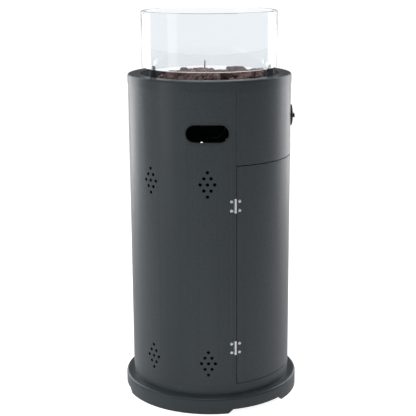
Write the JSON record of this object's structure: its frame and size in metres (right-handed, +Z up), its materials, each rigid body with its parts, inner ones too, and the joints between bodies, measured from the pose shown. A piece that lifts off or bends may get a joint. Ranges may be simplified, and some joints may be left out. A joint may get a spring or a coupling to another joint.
{
  "type": "gas patio heater",
  "caption": "Round free-standing gas patio heater: steel cabinet with hinged bottle door, control knob, lava rock bowl and lift-off glass wind guard.",
  "frame": {"origin": "centre of the underside of the base, on the ground", "axes": "+Z up, the front with the door and the control knob towards -Y, +X to the right as one faces the door"},
  "size_m": [0.4386, 0.4386, 0.9561],
  "materials": {
    "powder_coat": "fine-textured satin powder coat, anthracite",
    "bowl_coat": "heat-resistant matt paint",
    "zinc_steel": "zinc-plated steel",
    "bright_steel": "nickel-plated steel",
    "stainless": "stainless steel, heat-tinted",
    "brass": "machined brass",
    "cast_zinc": "die-cast alloy",
    "black_plastic": "moulded, satin",
    "grey_rubber": "silicone lead jacket",
    "copper": "drawn copper capillary",
    "ceramic_white": "unglazed insulator",
    "ferrite": "ferrite magnet in a plastic case",
    "lava": "porous reddish-brown lava rock",
    "clear_glass": "tempered clear glass, polished edges"
  },
  "bodies": {
    "housing": {"base_plate": "powder_coat", "plinth_ring": "powder_coat", "base_screws": "zinc_steel", "bottle_floor": "powder_coat", "bottle_ring": "zinc_steel", "floor_screws": "zinc_steel", "housing_shell": "powder_coat", "control_panel": "powder_coat", "panel_screws": "zinc_steel", "hinge_leaf_fixed_lower": "bright_steel", "hinge_leaf_fixed_upper": "bright_steel", "hinge_pin_lower": "bright_steel", "hinge_pin_upper": "bright_steel", "hinge_rivets_fixed": "bright_steel", "catch_magnet": "ferrite", "top_cap": "powder_coat", "cap_supports": "zinc_steel", "cap_nuts": "zinc_steel", "burner_bowl": "bowl_coat", "glass_bracket_1": "bowl_coat", "glass_bracket_2": "bowl_coat", "glass_bracket_3": "bowl_coat", "bracket_screws": "zinc_steel", "burner_ring": "stainless", "burner_hub": "stainless", "mixing_tube": "stainless", "air_shutter": "zinc_steel", "injector": "brass", "flame_hood": "stainless", "heat_shield": "zinc_steel", "shield_spacers": "zinc_steel", "shield_screws": "zinc_steel", "lava_rocks": "lava", "knob_bezel": "black_plastic", "valve_bracket": "zinc_steel", "valve_nut": "brass", "valve_body": "cast_zinc", "gas_inlet_fitting": "brass", "gas_feed_pipe": "cast_zinc", "piezo_igniter": "black_plastic", "ignition_lead": "grey_rubber", "spark_electrode": "ceramic_white", "thermocouple": "copper", "thermocouple_lead": "copper", "tilt_switch": "black_plastic"},
    "door": {"door_panel": "powder_coat", "hinge_leaf_door_lower": "bright_steel", "hinge_leaf_door_upper": "bright_steel", "hinge_rivets_door": "bright_steel", "strike_plate": "zinc_steel", "door_pull": "black_plastic", "door_pull_screw": "zinc_steel"},
    "valve_push": {"valve_plunger": "brass"},
    "knob": {"valve_spindle": "zinc_steel", "control_knob": "black_plastic"},
    "glass": {"glass_guard": "clear_glass"}
  },
  "joints": [
    {"name": "door_hinge", "type": "hinge", "parent": "housing", "child": "door", "pos_m": [-0.19261, -0.05197, 0.3368], "axis": [0, 0, -1], "range_deg": [0, 135]},
    {"name": "knob_push", "type": "slide", "parent": "housing", "child": "valve_push", "axis": [0, 1, 0], "range_m": [0, 0.004], "stiffness_N_per_m": 1500, "springref_m": -0.003},
    {"name": "knob_turn", "type": "hinge", "parent": "valve_push", "child": "knob", "pos_m": [0, -0.2, 0.699], "axis": [0, -1, 0], "range_deg": [0, 180]},
    {"name": "glass_lift", "type": "slide", "parent": "housing", "child": "glass", "axis": [0, 0, 1], "range_m": [0, 0.15]}
  ]
}
